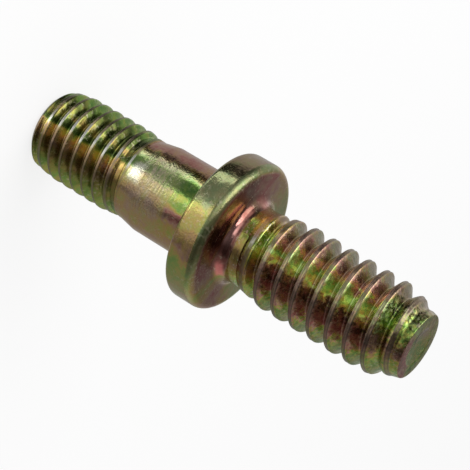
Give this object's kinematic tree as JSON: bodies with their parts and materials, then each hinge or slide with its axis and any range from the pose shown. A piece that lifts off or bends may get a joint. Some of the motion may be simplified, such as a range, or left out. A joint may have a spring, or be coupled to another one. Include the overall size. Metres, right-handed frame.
{
  "type": "bar stud",
  "caption": "Double-ended steel stud: fine nut thread, cone and plain shank on one side of a thick round collar, coarse self-forming thread with a tapered tip on the other.",
  "frame": {"origin": "centre of the flat end face of the nut thread, on which the stud stands", "axes": "+Z along the stud's axis, from the nut thread to the case thread; +Y away from the picture's camera"},
  "size_m": [0.0136, 0.0134, 0.0382],
  "materials": {
    "plated_steel": "yellow-chromated zinc plate on steel, semi-bright, with olive, gold, green and pink interference tints"
  },
  "bodies": {
    "root": {"bar_stud": "plated_steel"}
  },
  "joints": []
}
